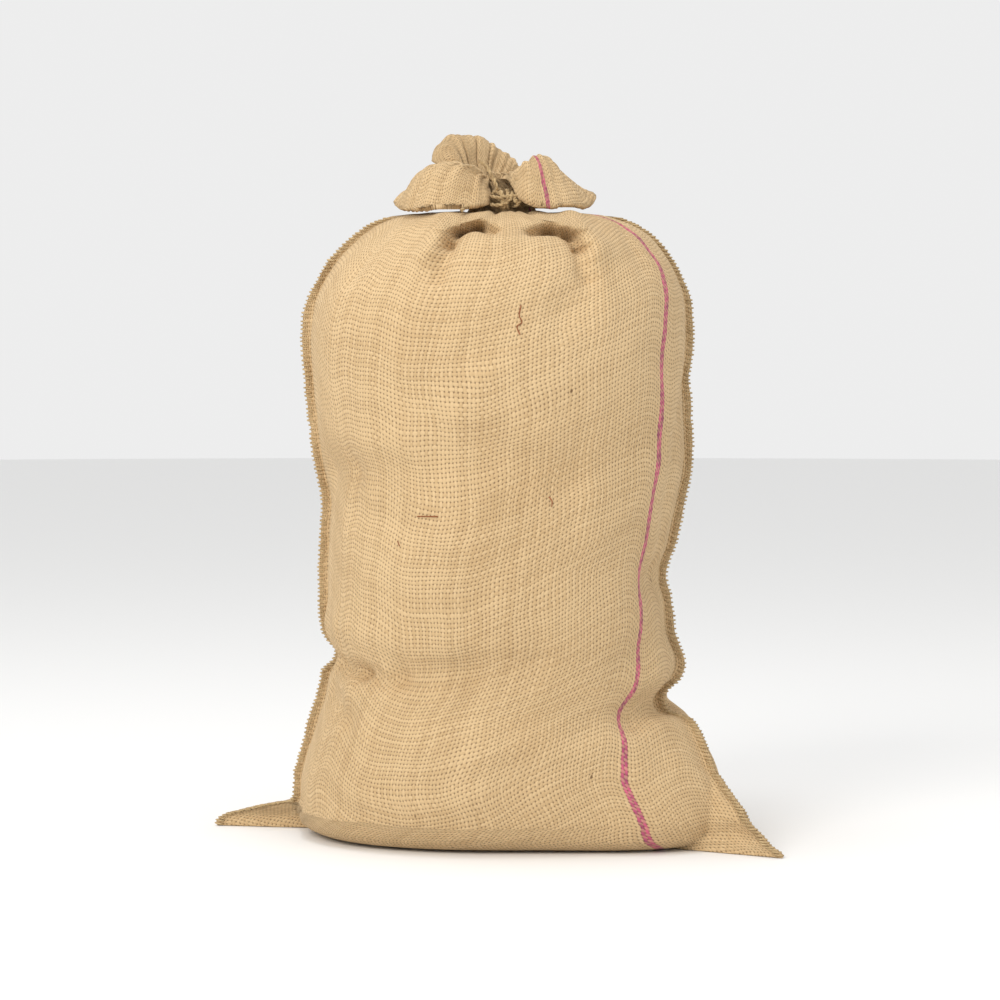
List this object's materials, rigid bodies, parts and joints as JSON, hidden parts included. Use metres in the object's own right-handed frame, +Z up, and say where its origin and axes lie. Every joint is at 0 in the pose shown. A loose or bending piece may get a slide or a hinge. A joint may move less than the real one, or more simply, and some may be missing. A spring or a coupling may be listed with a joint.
{
  "type": "filled hessian sack",
  "caption": "Filled jute hessian sack standing on its base, sewn up both sides, with pointed bottom corners, a gathered neck tied with twine and the mouth turned out above it.",
  "frame": {"origin": "on the floor, below the middle of the box round the whole sack", "axes": "+Z up; -Y is the front face; +X is the right-hand side seen from the front"},
  "size_m": [0.496, 0.3164, 0.6113],
  "materials": {
    "hessian": "natural plain-woven jute hessian, matt, with a woven pink warp stripe",
    "jute_twine": "natural two-ply jute twine, matt and hairy"
  },
  "bodies": {
    "root": {"sack": "hessian", "neck_tie": "jute_twine", "tie_knot": "jute_twine", "tie_end_low": "jute_twine", "tie_end_high": "jute_twine"}
  },
  "joints": []
}
